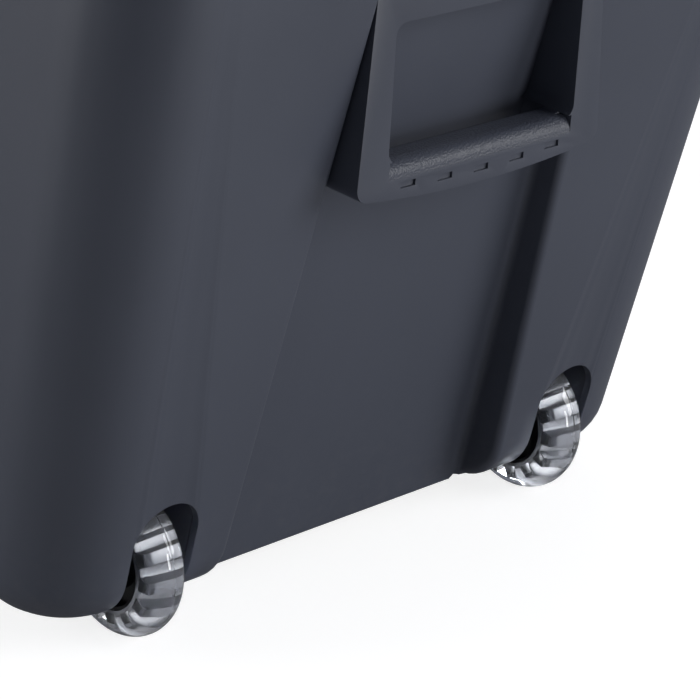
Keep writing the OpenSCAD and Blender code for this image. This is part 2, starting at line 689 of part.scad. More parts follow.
// One leaf: s = 1 on the lid with the middle knuckle, s = -1 on the box with the outer two
module leaf_one(s) {
    k = leaf[0] / 3;
    y0 = side_y(rim_z);
    knuckles = s > 0 ? [[-k / 2 + seat, k - 2 * seat]] : [[-1.5 * k, k], [0.5 * k, k]];
    difference() {
        union() {
            translate([-leaf[0] / 2, y0, s > 0 ? hinge_z + 2 : hinge_z - leaf[1]])
                cube([leaf[0], leaf_t[0], leaf[1] - 2]);
            for (n = knuckles) {
                translate([n[0], hinge_y, hinge_z]) rotate([0, 90, 0]) cylinder(r = leaf_t[1], h = n[1]);
                translate([n[0], y0, s > 0 ? hinge_z : hinge_z - leaf_t[1]])
                    cube([n[1], leaf_t[1] * 0.8, leaf_t[1]]);
            }
        }
        // Room for the other leaf's knuckles
        for (n = s > 0 ? [[-1.5 * k - e, k + e + seat], [0.5 * k - seat, k + e + seat]] : [[-k / 2, k]])
            translate([n[0], hinge_y, hinge_z]) rotate([0, 90, 0])
                cylinder(r = leaf_t[1] + seat, h = n[1]);
        translate([-leaf[0], hinge_y, hinge_z]) rotate([0, 90, 0])
            cylinder(d = pin_d + (s > 0 ? 2 * axle_clear : 0), h = 2 * leaf[0]);
        for (r = leaf_rivets(s)) translate([r[0], 0, r[1]]) rivet_hole();
    }
}
module hinge_leaves(s) { color("silver") for (x = hinge_x) translate([x, 0, 0]) leaf_one(s); }
module hinge_pins() {
    color("silver") for (x = hinge_x) translate([x - leaf[0] / 2 - 2, hinge_y, hinge_z])
        rotate([0, 90, 0]) cylinder(d = pin_d, h = leaf[0] + 4);
}
module hinge_rivets(s) {
    t = s > 0 ? lid_t[0] + fit : wall;
    color("silver") for (x = hinge_x) for (r = leaf_rivets(s))
        translate([x + r[0], side_y(rim_z) + leaf_t[0], r[1]]) rotate([-90, 0, 0]) {
            rotate_extrude() polygon([[0, 0], [0.9 * rivet_d, 0], [0.75 * rivet_d, 1], [0, 1.5]]);
            translate([0, 0, -leaf_t[0] - t - 3]) cylinder(d = rivet_d, h = leaf_t[0] + t + 3);
        }
}

// ---- assembly --------------------------------------------------------------------------

// Moves the box along Y so that the middle of its overall depth, tabs to hinges, is at Y = 0
module placed() {
    front = tab_reach - tab_y();
    back = hinge_y + leaf_t[1];
    translate([0, (front - back) / 2, 0]) children();
}

for (end = ENDS) {
    placed() at_end(end) end_panel();
    placed() at_end(end) handle();
    for (side = SIDES) {
        name = str(end, "_", side);
        placed() at_end(end) at_side(side) housing();
        placed() at_end(end) at_side(side) tyre();
        placed() at_end(end) at_side(side) core();
        placed() at_end(end) at_side(side) bearings();
        placed() at_end(end) at_side(side) axle();
    }
}
placed() handle_screws();
placed() housing_screws();
placed() front_panel();
placed() back_panel();
placed() floor_pan();
placed() lid_shell();
placed() lid_liner();
placed() lid_tubes();
placed() hinge_leaves(-1);  // hinge_leaves_box
placed() hinge_leaves(1);  // hinge_leaves_lid
placed() hinge_pins();
placed() hinge_rivets(-1);  // hinge_rivets_box
placed() hinge_rivets(1);  // hinge_rivets_lid
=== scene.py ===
import math

import bmesh
import bpy
from mathutils import Matrix, Quaternion, Vector


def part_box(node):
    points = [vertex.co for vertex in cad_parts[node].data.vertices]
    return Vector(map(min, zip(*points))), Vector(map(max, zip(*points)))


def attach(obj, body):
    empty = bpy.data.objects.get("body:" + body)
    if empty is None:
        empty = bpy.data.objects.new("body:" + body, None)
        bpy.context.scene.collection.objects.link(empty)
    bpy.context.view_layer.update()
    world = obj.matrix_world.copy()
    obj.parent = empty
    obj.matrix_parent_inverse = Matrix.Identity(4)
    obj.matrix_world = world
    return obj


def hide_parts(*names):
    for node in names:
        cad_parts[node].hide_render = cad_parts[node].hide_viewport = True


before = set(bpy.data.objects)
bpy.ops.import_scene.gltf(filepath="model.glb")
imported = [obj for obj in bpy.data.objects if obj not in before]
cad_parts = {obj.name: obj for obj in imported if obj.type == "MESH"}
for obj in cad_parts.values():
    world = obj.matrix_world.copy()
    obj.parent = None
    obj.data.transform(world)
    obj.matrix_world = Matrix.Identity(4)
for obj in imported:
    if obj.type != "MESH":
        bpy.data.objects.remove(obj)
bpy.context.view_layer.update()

MM = 0.001

# ---- View, light and floor ---------------------------------------------------------------
# The box stands on a plain pale studio floor. A long lens looks down on its right-hand end
# from the front corner, held a little out of level.
axle_low, axle_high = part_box("axle_right_front")
axle = (axle_low + axle_high) / 2
tray_low, tray_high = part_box("floor_pan")
mid_y = (tray_low.y + tray_high.y) / 2

look_angle = math.radians(44.87)     # round from the end towards the front
look_down = math.radians(24.26)
roll = math.radians(4.57)
look_at = Vector((axle.x + 66.3 * MM, mid_y - 61.5 * MM, 150 * MM))
look_from = 1342.9 * MM

camera_data = bpy.data.cameras.new("camera")
camera_data.lens = 154.6
camera_data.sensor_width = 36
camera = bpy.data.objects.new("camera", camera_data)
bpy.context.scene.collection.objects.link(camera)
forward = Vector((-math.cos(look_angle) * math.cos(look_down),
                  math.sin(look_angle) * math.cos(look_down), -math.sin(look_down)))
camera.location = look_at - forward * look_from
camera.rotation_mode = "QUATERNION"
camera.rotation_quaternion = forward.to_track_quat("-Z", "Y") @ Quaternion((0, 0, 1), roll)
camera_data.clip_start = 0.05
bpy.context.scene.camera = camera


def softbox(name, place, target, size, power):
    """A rectangular lamp of that width and height, turned towards a point of the box."""
    data = bpy.data.lights.new(name, "AREA")
    data.shape = "RECTANGLE"
    data.size, data.size_y = size
    data.energy = power
    lamp = bpy.data.objects.new(name, data)
    bpy.context.scene.collection.objects.link(lamp)
    lamp.location = place
    lamp.rotation_mode = "QUATERNION"
    lamp.rotation_quaternion = (Vector(target) - lamp.location).to_track_quat("-Z", "Y")


softbox("key_light", (2.6, 1.7, 1.3), (0.45, 0, 0.2), (1.6, 1.6), 52)
softbox("front_light", (-1.3, -2.3, 0.9), (0.3, 0, 0.2), (1.7, 1.4), 49)
softbox("top_light", (0.4, 0.3, 2.6), (0.3, 0, 0.3), (1.6, 1.6), 16)
softbox("wheel_light", (1.9, 0.2, 0.25), (0.47, 0, 0.05), (0.25, 0.6), 6)

# A dim sky, bright only for light that has passed through a clear tyre
world = bpy.data.worlds.new("studio")
world.use_nodes = True
nodes, links = world.node_tree.nodes, world.node_tree.links
sky = nodes["Background"]
sky.inputs["Color"].default_value = (0.80, 0.84, 0.92, 1)
passed = nodes.new("ShaderNodeLightPath")
strength = nodes.new("ShaderNodeMapRange")
strength.inputs["To Min"].default_value = 0.13
strength.inputs["To Max"].default_value = 12
links.new(passed.outputs["Transmission Depth"], strength.inputs["Value"])
links.new(strength.outputs["Result"], sky.inputs["Strength"])
bpy.context.scene.world = world
bpy.context.scene.view_settings.view_transform = "Standard"

# The floor glows to the camera and through the tyres, and is plain to all other light
bpy.ops.object.select_all(action="DESELECT")
bpy.ops.mesh.primitive_plane_add(size=30)
floor = bpy.context.object
floor.name = "studio_floor"
floor_paint = bpy.data.materials.new("studio_floor")
floor_paint.use_nodes = True
nodes, links = floor_paint.node_tree.nodes, floor_paint.node_tree.links
shader = nodes["Principled BSDF"]
shader.inputs["Base Color"].default_value = (0.42, 0.42, 0.43, 1)
shader.inputs["Roughness"].default_value = 0.9
shader.inputs["Specular IOR Level"].default_value = 0.1
glow = nodes.new("ShaderNodeEmission")
glow.inputs["Strength"].default_value = 0.8
seen = nodes.new("ShaderNodeLightPath")
both = nodes.new("ShaderNodeAddShader")
through = nodes.new("ShaderNodeMath")
through.operation = "MAXIMUM"
through.use_clamp = True
chosen = nodes.new("ShaderNodeMixShader")
links.new(shader.outputs["BSDF"], both.inputs[0])
links.new(glow.outputs["Emission"], both.inputs[1])
links.new(seen.outputs["Is Camera Ray"], through.inputs[0])
links.new(seen.outputs["Transmission Depth"], through.inputs[1])
links.new(through.outputs["Value"], chosen.inputs["Fac"])
links.new(shader.outputs["BSDF"], chosen.inputs[1])
links.new(both.outputs["Shader"], chosen.inputs[2])
links.new(chosen.outputs["Shader"], nodes["Material Output"].inputs["Surface"])
floor.data.materials.append(floor_paint)

# ---- End panels --------------------------------------------------------------------------
# Each end of the box is one deep moulding in grey polypropylene: two round corner posts, a
# recessed panel between them and an arch over each wheel. Its 4 mm walls lean outwards so
# that it leaves the tool, and its edges are softened.
WALL = 4 * MM
FOOT_Z = 15 * MM             # underside of the corner posts
FOOT_R = 26 * MM             # round of the lower edge
BELLY_Z = 12 * MM            # underside of the recessed panel
RECESS_TOP = 334 * MM
RIM_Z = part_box("end_panel_right")[1].z
CORNER_R = 42 * MM
SEAM_BACK = 102 * MM         # the joint with the long walls, behind the end face
LIP = (8 * MM, 4 * MM)       # width and thickness of the lip round the rim
CREASE = (50 * MM, 53 * MM)  # a shallow step down the side, from and to behind the end face
CREASE_DEPTH = 0.7 * MM
end_lean, side_lean = math.tan(math.radians(10.8)), math.tan(math.radians(2))
recess_lean, recess_taper = math.tan(math.radians(12.7)), math.tan(math.radians(3.8))


def face_x(z):
    """Outer face of the corner posts at height z."""
    return axle.x + 17.5 * MM + z * end_lean


def panel_x(z):
    """Face of the recessed panel at height z."""
    return axle.x - 7.5 * MM + z * recess_lean


def side_y(z):
    """Half the width of the box at height z."""
    return 192 * MM + z * side_lean


def recess_y(z):
    """Half the width of the recess at height z."""
    return 92 * MM - z * recess_taper


def tapered_block(name, low, high):
    """A block from its bottom to its top, each (x min, x max, y min, y max, z)."""
    bpy.ops.object.select_all(action="DESELECT")
    bpy.ops.mesh.primitive_plane_add(size=1)
    block = bpy.context.object
    block.name = name
    centre = [((r[0] + r[1]) / 2, (r[2] + r[3]) / 2, r[4]) for r in (low, high)]
    bpy.ops.object.mode_set(mode="EDIT")
    bpy.ops.transform.resize(value=(low[1] - low[0], low[3] - low[2], 1), center_override=(0, 0, 0))
    bpy.ops.transform.translate(value=centre[0])
    rise = Vector(centre[1]) - Vector(centre[0])
    bpy.ops.mesh.extrude_region_move(TRANSFORM_OT_translate={"value": rise})
    ratio = ((high[1] - high[0]) / (low[1] - low[0]), (high[3] - high[2]) / (low[3] - low[2]), 1)
    bpy.ops.transform.resize(value=ratio, center_override=centre[1])
    bpy.ops.mesh.select_all(action="SELECT")
    bpy.ops.mesh.normals_make_consistent(inside=False)
    bpy.ops.object.mode_set(mode="OBJECT")
    return block


def edit(piece):
    """Open one piece, and only that one, in edit mode."""
    bpy.ops.object.select_all(action="DESELECT")
    piece.select_set(True)
    bpy.context.view_layer.objects.active = piece
    bpy.ops.object.mode_set(mode="EDIT")


def pick(piece, kind, rule):
    """In edit mode, select the VERT, EDGE or FACE elements that the rule holds for."""
    bpy.ops.mesh.select_mode(type=kind)
    bpy.ops.mesh.select_all(action="DESELECT")
    mesh = bmesh.from_edit_mesh(piece.data)
    elements = {"VERT": mesh.verts, "EDGE": mesh.edges, "FACE": mesh.faces}[kind]
    for element in elements:
        if rule(element):
            element.select_set(True)
    mesh.select_flush_mode()
    bmesh.update_edit_mesh(piece.data)


def cut(piece, tool):
    """Cut a piece with a tool and throw the tool away."""
    bpy.context.view_layer.objects.active = piece
    modifier = piece.modifiers.new("cut", "BOOLEAN")
    modifier.object = tool
    modifier.operation = "DIFFERENCE"
    modifier.solver = "EXACT"
    bpy.ops.object.modifier_apply(modifier=modifier.name)
    bpy.data.objects.remove(tool)


SHARP = math.radians(35)


def soften(piece, width, segments=2):
    """Round every edge sharper than that, and shade what is flatter as one surface."""
    bpy.ops.object.select_all(action="DESELECT")
    piece.select_set(True)
    bpy.context.view_layer.objects.active = piece
    modifier = piece.modifiers.new("soften", "BEVEL")
    modifier.width = width
    modifier.segments = segments
    modifier.limit_method = "ANGLE"
    modifier.angle_limit = SHARP
    modifier.harden_normals = False
    bpy.ops.object.modifier_apply(modifier=modifier.name)
    bpy.ops.object.shade_smooth_by_angle(angle=SHARP)


def on(value, place, slack=0.4 * MM):
    """Whether a value lies at a place, give or take the slack."""
    return abs(value - place) < slack


def end_rect(z):
    """The end's rectangle at height z, from the seam to its face."""
    return (face_x(z) - SEAM_BACK, face_x(z), mid_y - side_y(z), mid_y + side_y(z), z)


end = tapered_block("end_moulding_right", end_rect(FOOT_Z), end_rect(RIM_Z))
edit(end)
pick(end, "EDGE", lambda e: all(on(v.co.x, face_x(v.co.z)) for v in e.verts)
     and abs(e.verts[0].co.z - e.verts[1].co.z) > 0.1)
bpy.ops.mesh.bevel(offset=CORNER_R, segments=18, affect="EDGES")
pick(end, "EDGE", lambda e: all(on(v.co.z, FOOT_Z) for v in e.verts)
     and not all(on(v.co.x, face_x(FOOT_Z) - SEAM_BACK) for v in e.verts))
bpy.ops.mesh.bevel(offset=FOOT_R, segments=9, affect="EDGES")
for back in CREASE:
    bpy.ops.mesh.select_all(action="SELECT")
    bpy.ops.mesh.bisect(plane_co=(face_x(0) - back, 0, 0), plane_no=(1, 0, -end_lean))
for side in (-1, 1):
    pick(end, "VERT", lambda v: v.co.x < face_x(v.co.z) - CREASE[1] + 0.1 * MM
         and (v.co.y - mid_y) * side > 0)
    bpy.ops.transform.translate(value=(0, -CREASE_DEPTH * side, 0))
bpy.ops.object.mode_set(mode="OBJECT")


def recess_rect(z):
    """The recess as a cut at height z, open at the front."""
    return (panel_x(z), axle.x + 400 * MM, mid_y - recess_y(z), mid_y + recess_y(z), z)


tool = tapered_block("recess_tool", recess_rect(FOOT_Z - 20 * MM), recess_rect(RECESS_TOP))
edit(tool)
pick(tool, "EDGE", lambda e: all(on(v.co.x, panel_x(v.co.z)) for v in e.verts)
     and any(v.co.z > RECESS_TOP - MM for v in e.verts))
bpy.ops.mesh.bevel(offset=5 * MM, segments=5, affect="EDGES")
bpy.ops.object.mode_set(mode="OBJECT")
cut(end, tool)

# The moulding is open above, below and towards the long walls
edit(end)
pick(end, "FACE", lambda f: (on(f.calc_center_median().z, RIM_Z) and f.normal.z > 0.99)
     or (on(f.calc_center_median().z, FOOT_Z) and f.normal.z < -0.99)
     or (f.normal.x < -0.9 and f.calc_center_median().x < face_x(f.calc_center_median().z) - 40 * MM
         and on(f.calc_center_median().x, face_x(f.calc_center_median().z) - SEAM_BACK)))
bpy.ops.mesh.delete(type="FACE")
pick(end, "EDGE", lambda e: e.is_manifold and e.calc_face_angle(0) > 0.5
     and (all(on(abs(v.co.y - mid_y), recess_y(v.co.z)) for v in e.verts)
          or all(on(v.co.z, RECESS_TOP) and on(v.co.x, face_x(v.co.z)) for v in e.verts)))
bpy.ops.mesh.bevel(offset=4 * MM, segments=5, affect="EDGES")
# The recessed panel runs on down to the belly
pick(end, "EDGE", lambda e: e.is_boundary and all(on(v.co.z, FOOT_Z) for v in e.verts)
     and all(v.co.x < panel_x(FOOT_Z) + 8.5 * MM for v in e.verts)
     and all(abs(v.co.y - mid_y) < recess_y(FOOT_Z) + 0.1 * MM for v in e.verts))
drop = FOOT_Z - BELLY_Z
bpy.ops.mesh.extrude_region_move(TRANSFORM_OT_translate={"value": (-drop * recess_lean, 0, -drop)})
# and its ends run out along the corners of the recess
pick(end, "VERT", lambda v: v.co.z < FOOT_Z - 2 * MM and v.co.x > panel_x(BELLY_Z) + 0.8 * MM)
bpy.ops.transform.translate(value=(drop * recess_lean, 0, drop))
bpy.ops.mesh.select_all(action="SELECT")
bpy.ops.mesh.remove_doubles(threshold=0.02 * MM)
bpy.ops.object.mode_set(mode="OBJECT")
modifier = end.modifiers.new("wall", "SOLIDIFY")
modifier.thickness = WALL
modifier.offset = -1
modifier.use_even_offset = True
bpy.context.view_layer.objects.active = end
bpy.ops.object.modifier_apply(modifier="wall")

ARCH_R = 19 * MM
ARCH_TOP = 78.5 * MM
for low, high in (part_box("axle_right_front"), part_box("axle_right_back")):
    arch_y = (low.y + high.y) / 2
    bpy.ops.object.select_all(action="DESELECT")
    bpy.ops.mesh.primitive_cylinder_add(vertices=64, radius=ARCH_R, depth=300 * MM)
    tool = bpy.context.object
    edit(tool)
    bpy.ops.transform.rotate(value=math.pi / 2, orient_axis="Y", center_override=(0, 0, 0))
    bpy.ops.transform.translate(value=(axle.x + 110 * MM, arch_y, ARCH_TOP - ARCH_R))
    pick(tool, "VERT", lambda v: v.co.z < ARCH_TOP - ARCH_R - 0.1 * MM)
    bpy.ops.transform.translate(value=(0, 0, -80 * MM))
    bpy.ops.object.mode_set(mode="OBJECT")
    cut(end, tool)
soften(end, 0.9 * MM, segments=3)


def lip_rect(z, grow):
    """The outline of the rim, grown outwards, at height z."""
    x = face_x(RIM_Z)
    return (x - SEAM_BACK, x + grow, mid_y - side_y(RIM_Z) - grow, mid_y + side_y(RIM_Z) + grow, z)


def round_corners(block, radius):
    """Round the two upright corners of a block that are furthest out along X."""
    x_max = max(v.co.x for v in block.data.vertices)
    edit(block)
    pick(block, "EDGE", lambda e: all(on(v.co.x, x_max) for v in e.verts)
         and abs(e.verts[0].co.z - e.verts[1].co.z) > MM)
    bpy.ops.mesh.bevel(offset=radius, segments=14, affect="EDGES")
    bpy.ops.object.mode_set(mode="OBJECT")


lip = tapered_block("lip", lip_rect(RIM_Z - LIP[1], LIP[0]), lip_rect(RIM_Z, LIP[0]))
round_corners(lip, CORNER_R + LIP[0])
below, above = RIM_Z - 20 * MM, RIM_Z + 20 * MM
tool = tapered_block("lip_tool", lip_rect(below, -2 * MM), lip_rect(above, -2 * MM))
round_corners(tool, CORNER_R - 2 * MM)
cut(lip, tool)
# The lip stops short of the back, where the lid turns down
hinge_side = mid_y + side_y(RIM_Z) - CORNER_R
cut(lip, tapered_block("lip_tool", (0, 1, hinge_side, 1, below), (0, 1, hinge_side, 1, above)))
soften(lip, 0.8 * MM)


def joined(piece, *more):
    """Make one piece of several."""
    bpy.ops.object.select_all(action="DESELECT")
    for part in (piece, *more):
        part.select_set(True)
    bpy.context.view_layer.objects.active = piece
    bpy.ops.object.join()
    return piece


def mirrored(piece, name, axis):
    """A copy of a piece with its own mesh, turned over across the box."""
    data = piece.data.copy()
    flip = Matrix.Scale(-1, 4, axis)
    if axis[1]:
        flip = Matrix.Translation((0, 2 * mid_y, 0)) @ flip
    data.transform(flip)
    data.flip_normals()
    copy = bpy.data.objects.new(name, data)
    bpy.context.scene.collection.objects.link(copy)
    return copy


end = joined(end, lip)


def number_input(group, name, value):
    """A number that a shader group takes in, with its usual value."""
    socket = group.interface.new_socket(name, in_out="INPUT", socket_type="NodeSocketFloat")
    socket.default_value = value


# Grain of a spark-eroded tool, slow clouding of the colour, and faint flow lines up the wall
moulded = bpy.data.node_groups.new("moulded_surface", "ShaderNodeTree")
number_input(moulded, "Grain per metre", 1400)
number_input(moulded, "Cloud per metre", 9)
for output in ("Height", "Tone", "Shine"):
    moulded.interface.new_socket(output, in_out="OUTPUT", socket_type="NodeSocketFloat")
nodes, links = moulded.nodes, moulded.links
entry = nodes.new("NodeGroupInput")
leave = nodes.new("NodeGroupOutput")
place = nodes.new("ShaderNodeTexCoord")
grain = nodes.new("ShaderNodeTexNoise")
grain.inputs["Detail"].default_value = 3
grain.inputs["Roughness"].default_value = 0.62
cloud = nodes.new("ShaderNodeTexNoise")
cloud.inputs["Detail"].default_value = 4
stretch = nodes.new("ShaderNodeMapping")
stretch.inputs["Scale"].default_value = (55, 55, 2.5)
flow = nodes.new("ShaderNodeTexNoise")
flow.inputs["Scale"].default_value = 1
flow.inputs["Detail"].default_value = 2
tone = nodes.new("ShaderNodeMath")
tone.operation = "MULTIPLY_ADD"
tone.inputs[1].default_value = 0.35
shine = nodes.new("ShaderNodeMath")
shine.operation = "MULTIPLY_ADD"
shine.inputs[1].default_value = 0.5
links.new(place.outputs["Object"], grain.inputs["Vector"])
links.new(place.outputs["Object"], cloud.inputs["Vector"])
links.new(place.outputs["Object"], stretch.inputs["Vector"])
links.new(stretch.outputs["Vector"], flow.inputs["Vector"])
links.new(entry.outputs["Grain per metre"], grain.inputs["Scale"])
links.new(entry.outputs["Cloud per metre"], cloud.inputs["Scale"])
links.new(flow.outputs["Fac"], tone.inputs[0])
links.new(cloud.outputs["Fac"], tone.inputs[2])
links.new(grain.outputs["Fac"], shine.inputs[0])
links.new(cloud.outputs["Fac"], shine.inputs[2])
links.new(grain.outputs["Fac"], leave.inputs["Height"])
links.new(tone.outputs["Value"], leave.inputs["Tone"])
links.new(shine.outputs["Value"], leave.inputs["Shine"])

# Dust that gathers near the ground, as a mask that fades out with height
dust = bpy.data.node_groups.new("ground_dust", "ShaderNodeTree")
number_input(dust, "Top", 0.09)
number_input(dust, "Amount", 0.25)
dust.interface.new_socket("Mask", in_out="OUTPUT", socket_type="NodeSocketFloat")
nodes, links = dust.nodes, dust.links
entry = nodes.new("NodeGroupInput")
leave = nodes.new("NodeGroupOutput")
place = nodes.new("ShaderNodeTexCoord")
split = nodes.new("ShaderNodeSeparateXYZ")
fade = nodes.new("ShaderNodeMapRange")
fade.inputs["From Min"].default_value = 0
fade.inputs["To Min"].default_value = 1
fade.inputs["To Max"].default_value = 0
speck = nodes.new("ShaderNodeTexNoise")
speck.inputs["Scale"].default_value = 160
speck.inputs["Detail"].default_value = 6
patch = nodes.new("ShaderNodeMapRange")
patch.inputs["From Min"].default_value = 0.48
patch.inputs["From Max"].default_value = 0.72
once = nodes.new("ShaderNodeMath")
once.operation = "MULTIPLY"
twice = nodes.new("ShaderNodeMath")
twice.operation = "MULTIPLY"
links.new(place.outputs["Object"], split.inputs["Vector"])
links.new(place.outputs["Object"], speck.inputs["Vector"])
links.new(split.outputs["Z"], fade.inputs["Value"])
links.new(entry.outputs["Top"], fade.inputs["From Max"])
links.new(speck.outputs["Fac"], patch.inputs["Value"])
links.new(fade.outputs["Result"], once.inputs[0])
links.new(patch.outputs["Result"], once.inputs[1])
links.new(once.outputs["Value"], twice.inputs[0])
links.new(entry.outputs["Amount"], twice.inputs[1])
links.new(twice.outputs["Value"], leave.inputs["Mask"])


GRAIN_DEPTH = 0.02 * MM


def plastic(name, dark, light, roughness, dusty, gloss=0.5):
    """A moulded plastic between two tones of its colour, with grain, clouding and dust."""
    material = bpy.data.materials.new(name)
    material.use_nodes = True
    nodes, links = material.node_tree.nodes, material.node_tree.links
    shader = nodes["Principled BSDF"]
    shader.inputs["Specular IOR Level"].default_value = gloss
    surface = nodes.new("ShaderNodeGroup")
    surface.node_tree = moulded
    ground = nodes.new("ShaderNodeGroup")
    ground.node_tree = dust
    ground.inputs["Amount"].default_value = dusty
    tones = nodes.new("ShaderNodeMix")
    tones.data_type = "RGBA"
    tones.inputs[6].default_value = (*dark, 1)
    tones.inputs[7].default_value = (*light, 1)
    dusted = nodes.new("ShaderNodeMix")
    dusted.data_type = "RGBA"
    dusted.inputs[7].default_value = (0.26, 0.25, 0.235, 1)
    shine = nodes.new("ShaderNodeMapRange")
    shine.inputs["From Min"].default_value = 0.35
    shine.inputs["From Max"].default_value = 1.15
    shine.inputs["To Min"].default_value = roughness - 0.07
    shine.inputs["To Max"].default_value = roughness + 0.09
    bump = nodes.new("ShaderNodeBump")
    bump.inputs["Strength"].default_value = 1
    bump.inputs["Distance"].default_value = GRAIN_DEPTH
    links.new(surface.outputs["Tone"], tones.inputs[0])
    links.new(tones.outputs[2], dusted.inputs[6])
    links.new(ground.outputs["Mask"], dusted.inputs[0])
    links.new(dusted.outputs[2], shader.inputs["Base Color"])
    links.new(surface.outputs["Shine"], shine.inputs["Value"])
    links.new(shine.outputs["Result"], shader.inputs["Roughness"])
    links.new(surface.outputs["Height"], bump.inputs["Height"])
    links.new(bump.outputs["Normal"], shader.inputs["Normal"])
    return material


shell_grey = plastic("anthracite_polypropylene", (0.048, 0.0535, 0.073), (0.057, 0.0635, 0.086), 0.46,
                     dusty=0.05, gloss=0.42)


def finish(piece, material, body, slot, *replaced):
    """Give a new piece its material, its body and the parts it stands for. The slot is not used."""
    piece.data.materials.clear()
    piece.data.materials.append(material)
    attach(piece, body)
    if replaced:
        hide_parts(*replaced)
    return piece


finish(end, shell_grey, "box", "shell_plastic", "end_panel_right")
finish(mirrored(end, "end_moulding_left", (1, 0, 0)), shell_grey, "box", "shell_plastic",
       "end_panel_left")

# ---- Long walls and floor ----------------------------------------------------------------
# The front and back walls slide on to tongues of the end panels. They are moulded in the
# same polypropylene, grooved like boards, and a darker floor tray closes the box below.


def softened(node, name, width, segments=2):
    """A copy of a part with its own merged mesh and softened edges."""
    piece = bpy.data.objects.new(name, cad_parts[node].data.copy())
    bpy.context.scene.collection.objects.link(piece)
    edit(piece)
    bpy.ops.mesh.select_all(action="SELECT")
    bpy.ops.mesh.remove_doubles(threshold=0.01 * MM)
    bpy.ops.mesh.dissolve_limited(angle_limit=math.radians(0.5))
    bpy.ops.object.mode_set(mode="OBJECT")
    soften(piece, width, segments)
    return piece


inner_grey = plastic("inner_polypropylene", (0.040, 0.043, 0.054), (0.052, 0.056, 0.068), 0.55,
                     dusty=0.3)
finish(softened("front_panel", "front_wall", 0.7 * MM), shell_grey, "box", "shell_plastic", "front_panel")
finish(softened("back_panel", "back_wall", 0.7 * MM), shell_grey, "box", "shell_plastic", "back_panel")
finish(softened("floor_pan", "floor_tray", 1.0 * MM), inner_grey, "box", "inner_plastic", "floor_pan")

# ---- Handles -----------------------------------------------------------------------------
# A solid handle is screwed into each recess from inside. Its grip bar is bowed below and
# stippled where the fingers close on it, and smooth along its rear edge.
grip_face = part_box("handle_right")[1].x
grip_grey = plastic("grip_polypropylene", (0.040, 0.045, 0.063), (0.050, 0.056, 0.077), 0.42, dusty=0,
                    gloss=0.42)
nodes, links = grip_grey.node_tree.nodes, grip_grey.node_tree.links
place = nodes.new("ShaderNodeTexCoord")
split = nodes.new("ShaderNodeSeparateXYZ")
links.new(place.outputs["Object"], split.inputs["Vector"])
reach = nodes.new("ShaderNodeMath")
reach.operation = "ABSOLUTE"
links.new(split.outputs["X"], reach.inputs[0])
aside = nodes.new("ShaderNodeMath")
aside.operation = "SUBTRACT"
aside.inputs[1].default_value = mid_y
links.new(split.outputs["Y"], aside.inputs[0])
across = nodes.new("ShaderNodeMath")
across.operation = "ABSOLUTE"
links.new(aside.outputs["Value"], across.inputs[0])


def fade_between(source, low, high):
    """0 at low and 1 at high, smoothly, as a place goes from one to the other."""
    ramp = nodes.new("ShaderNodeMapRange")
    ramp.interpolation_type = "SMOOTHSTEP"
    ramp.inputs["From Min"].default_value = low
    ramp.inputs["From Max"].default_value = high
    links.new(source, ramp.inputs["Value"])
    return ramp.outputs["Result"]


bar_top = 241 * MM                  # upper face of the grip bar
stipple_from = [fade_between(split.outputs["Z"], bar_top - 9 * MM, bar_top - 6 * MM),
                fade_between(split.outputs["Z"], bar_top + 6 * MM, bar_top + 3 * MM),
                fade_between(reach.outputs["Value"], grip_face - 15.5 * MM, grip_face - 14.5 * MM),
                fade_between(across.outputs["Value"], 60 * MM, 54 * MM)]
mask = stipple_from[0]
for share in stipple_from[1:]:
    product = nodes.new("ShaderNodeMath")
    product.operation = "MULTIPLY"
    links.new(mask, product.inputs[0])
    links.new(share, product.inputs[1])
    mask = product.outputs["Value"]
pebble = nodes.new("ShaderNodeTexVoronoi")
pebble.feature = "SMOOTH_F1"
pebble.inputs["Scale"].default_value = 1000
pebble.inputs["Smoothness"].default_value = 0.4
links.new(place.outputs["Object"], pebble.inputs["Vector"])
pebbled = nodes.new("ShaderNodeMath")
pebbled.operation = "MULTIPLY"
links.new(pebble.outputs["Distance"], pebbled.inputs[0])
links.new(mask, pebbled.inputs[1])
stipple = nodes.new("ShaderNodeBump")
stipple.invert = True
stipple.inputs["Strength"].default_value = 1
stipple.inputs["Distance"].default_value = 0.24 * MM
links.new(pebbled.outputs["Value"], stipple.inputs["Height"])
fine = next(n for n in nodes if n.type == "BUMP" and n != stipple)
links.new(fine.outputs["Normal"], stipple.inputs["Normal"])
links.new(stipple.outputs["Normal"], nodes["Principled BSDF"].inputs["Normal"])

handle = softened("handle_right", "grip_right", 1.0 * MM, segments=3)
finish(handle, grip_grey, "box", "shell_plastic", "handle_right")
finish(mirrored(handle, "grip_left", (1, 0, 0)), grip_grey, "box", "shell_plastic", "handle_left")

# ---- Wheel housings ----------------------------------------------------------------------
# A nylon pocket in the grey of the box is screwed into each corner from above. It closes
# the arch over the wheel and carries the ends of the axle bolt.
housing_grey = plastic("housing_nylon", (0.032, 0.036, 0.049), (0.040, 0.045, 0.060), 0.5, dusty=0.05)
CORNERS = [(side, row) for side in ("right", "left") for row in ("front", "back")]
for side, row in CORNERS:
    finish(softened(f"housing_{side}_{row}", f"wheel_pocket_{side}_{row}", 0.5 * MM),
           housing_grey, "box", "housing_plastic", f"housing_{side}_{row}")

# ---- Wheels ------------------------------------------------------------------------------
# Skate wheels: a clear cast urethane tyre on a black nylon core whose toothed band shows
# through it. Each turns on two shielded bearings and a steel axle bolt.
tyre_low, tyre_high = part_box("tyre_right_front")
WHEEL_R = (tyre_high.z - tyre_low.z) / 2
TYRE_HALF = (tyre_high.y - tyre_low.y) / 2
CROWN_R = 11.5 * MM                  # round of the tread
BORE_R = 22.6 * MM                   # where the tyre is cast on to the core
GROOVE = (0.35 * MM, 0.3 * MM)       # half width and depth of the parting line round the tread


